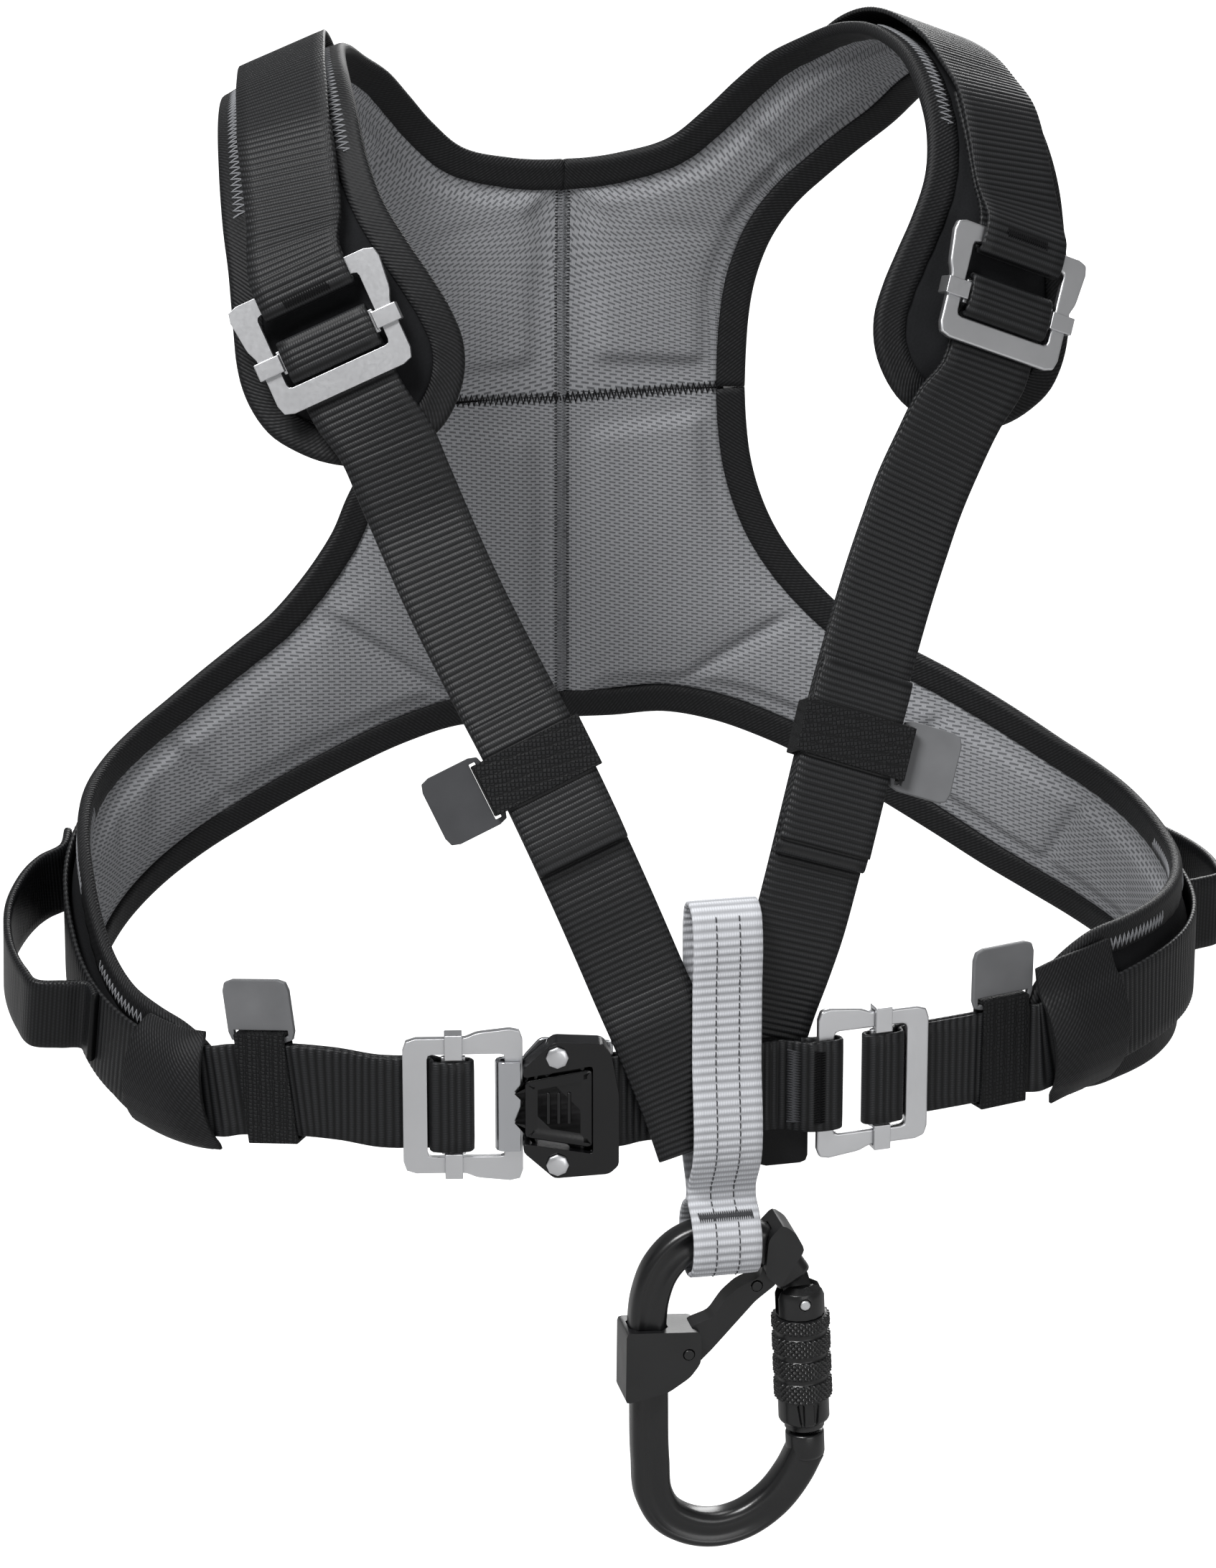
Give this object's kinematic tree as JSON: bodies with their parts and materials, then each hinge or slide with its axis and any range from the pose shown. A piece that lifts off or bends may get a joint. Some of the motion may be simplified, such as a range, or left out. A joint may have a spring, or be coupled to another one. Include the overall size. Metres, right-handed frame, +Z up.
{
  "type": "climbing chest harness",
  "caption": "Padded climbing chest harness with crossed front straps, adjuster buckles, a hooked front buckle, side gear loops and a locking oval carabiner.",
  "frame": {"origin": "under the tops of the shoulder pads, midway between them, where the shoulders carry the harness", "axes": "+Z up, -Y the way the wearer faces, +X to the wearer's left"},
  "size_m": [0.412, 0.2568, 0.4603],
  "materials": {
    "mesh_lining": "grey spacer mesh",
    "edge_binding": "black woven binding tape",
    "black_webbing": "ribbed polyester webbing",
    "grey_webbing": "ribbed polyester webbing",
    "elastic_band": "woven elastic",
    "buckle_steel": "satin",
    "hook_steel": "polished",
    "cover_plastic": "gloss black",
    "tab_plastic": "soft dark grey",
    "gear_plastic": "black tube in cloth",
    "label_cloth": "blank woven label",
    "black_alloy": "satin black anodised",
    "black_polymer": "satin black"
  },
  "bodies": {
    "harness": {"shoulder_pad_left": "mesh_lining", "shoulder_pad_right": "mesh_lining", "side_pad_left": "mesh_lining", "side_pad_right": "mesh_lining", "shoulder_binding_left": "edge_binding", "shoulder_binding_right": "edge_binding", "side_binding_left": "edge_binding", "side_binding_right": "edge_binding", "shoulder_web_left": "black_webbing", "shoulder_web_right": "black_webbing", "shoulder_strap_left": "black_webbing", "shoulder_strap_right": "black_webbing", "chest_strap_left": "black_webbing", "chest_strap_right": "black_webbing", "centre_web": "black_webbing", "shoulder_buckle_left": "buckle_steel", "shoulder_buckle_right": "buckle_steel", "chest_buckle_left": "buckle_steel", "chest_buckle_right": "buckle_steel", "shoulder_slider_left": "buckle_steel", "shoulder_slider_right": "buckle_steel", "chest_slider_left": "buckle_steel", "chest_slider_right": "buckle_steel", "shoulder_left_keeper": "elastic_band", "shoulder_right_keeper": "elastic_band", "chest_left_keeper": "elastic_band", "chest_right_keeper": "elastic_band", "shoulder_left_tab": "tab_plastic", "shoulder_right_tab": "tab_plastic", "chest_left_tab": "tab_plastic", "chest_right_tab": "tab_plastic", "pad_sleeve_left": "edge_binding", "pad_sleeve_right": "edge_binding", "gear_loop_left": "gear_plastic", "gear_loop_right": "gear_plastic", "hook_plate": "hook_steel", "buckle_cover": "cover_plastic", "release_tab": "cover_plastic", "rivet_upper": "hook_steel", "rivet_lower": "hook_steel", "label_tag": "label_cloth", "attachment_loop": "grey_webbing"},
    "carabiner": {"carabiner_frame": "black_alloy", "gate_rivet": "hook_steel", "captive_bar": "black_polymer", "captive_pin_lower": "black_alloy", "captive_pin_upper": "black_alloy"},
    "gate": {"carabiner_gate": "black_alloy"},
    "sleeve": {"locking_sleeve": "black_alloy"}
  },
  "joints": [
    {"name": "carabiner_swing", "type": "hinge", "parent": "harness", "child": "carabiner", "pos_m": [0.0052, -0.14963, -0.33975], "axis": [1, 0, 0], "range_deg": [-80, 25]},
    {"name": "gate_hinge", "type": "hinge", "parent": "carabiner", "child": "gate", "pos_m": [0.02774, -0.14963, -0.36142], "axis": [0, 1, 0], "range_deg": [0, 20], "stiffness_Nm_per_rad": 0.06, "springref_deg": -20.05},
    {"name": "sleeve_turn", "type": "hinge", "parent": "gate", "child": "sleeve", "pos_m": [0.02774, -0.14963, -0.36142], "axis": [-0.0465, 0, 0.9989], "range_deg": [0, 90], "stiffness_Nm_per_rad": 0.008, "springref_deg": -20.05}
  ]
}
